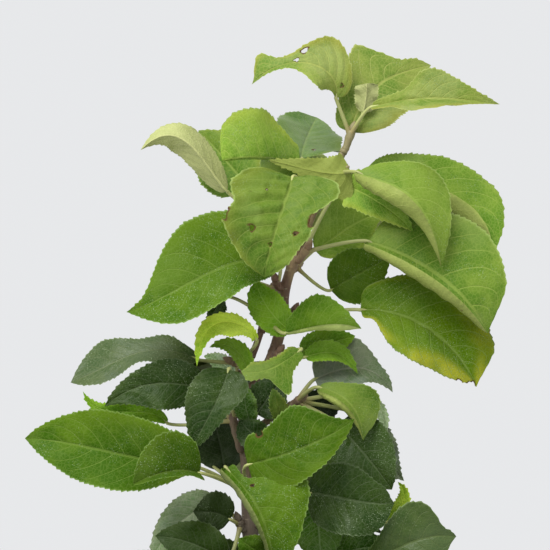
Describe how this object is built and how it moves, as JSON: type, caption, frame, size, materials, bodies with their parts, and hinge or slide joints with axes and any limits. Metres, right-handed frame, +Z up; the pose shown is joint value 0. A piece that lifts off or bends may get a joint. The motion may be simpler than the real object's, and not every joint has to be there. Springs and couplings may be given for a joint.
{
  "type": "potted apple tree",
  "caption": "Young apple tree in a plain round pot: one upright trunk, short boughs and rosettes of toothed leaves on spurs, standing on the flat underside of its soil-filled pot.",
  "frame": {"origin": "middle of the pot's flat underside, where the plant stands", "axes": "+Z up along the trunk, +Y away from the viewer of the picture, +X to that viewer's right"},
  "size_m": [0.3094, 0.2963, 0.9478],
  "materials": {
    "pot_plastic": "matt moulded charcoal plastic, faintly scuffed",
    "potting_soil": "moist crumbly potting soil",
    "bark": "smooth young brown bark with pale pores",
    "leaves": "semi-gloss green leaf with paler dull underside"
  },
  "bodies": {
    "root": {"behind_bottom_leaves": "leaves", "behind_high_leaves": "leaves", "behind_low_leaves": "leaves", "behind_middle_leaves": "leaves", "behind_top_leaves": "leaves", "behind_upper_leaves": "leaves", "bottom_left_leaves": "leaves", "bottom_right_bough": "bark", "bottom_right_leaves": "leaves", "centre_leaves": "leaves", "centre_low_leaves": "leaves", "far_left_leaves": "leaves", "front_below_leaves": "leaves", "left_big_leaves": "leaves", "left_dark_leaves": "leaves", "left_low_leaves": "leaves", "left_shoot": "bark", "left_upper_leaves": "leaves", "low_right_bough": "bark", "lower_bough_1": "bark", "lower_bough_10": "bark", "lower_bough_11": "bark", "lower_bough_2": "bark", "lower_bough_3": "bark", "lower_bough_4": "bark", "lower_bough_5": "bark", "lower_bough_6": "bark", "lower_bough_7": "bark", "lower_bough_8": "bark", "lower_bough_9": "bark", "lower_leaves_1": "leaves", "lower_leaves_10": "leaves", "lower_leaves_11": "leaves", "lower_leaves_2": "leaves", "lower_leaves_3": "leaves", "lower_leaves_4": "leaves", "lower_leaves_5": "leaves", "lower_leaves_6": "leaves", "lower_leaves_7": "leaves", "lower_leaves_8": "leaves", "lower_leaves_9": "leaves", "pot": "pot_plastic", "right_bottom_leaves": "leaves", "right_low_leaves": "leaves", "right_mid_bough": "bark", "right_mid_leaves": "leaves", "right_pair_leaves": "leaves", "shoot_leaves": "leaves", "soil": "potting_soil", "tip_leaves": "leaves", "trunk": "bark", "trunk_front_leaves": "leaves", "upper_back_leaves": "leaves", "upper_front_leaves": "leaves", "upper_left_leaves": "leaves"}
  },
  "joints": []
}
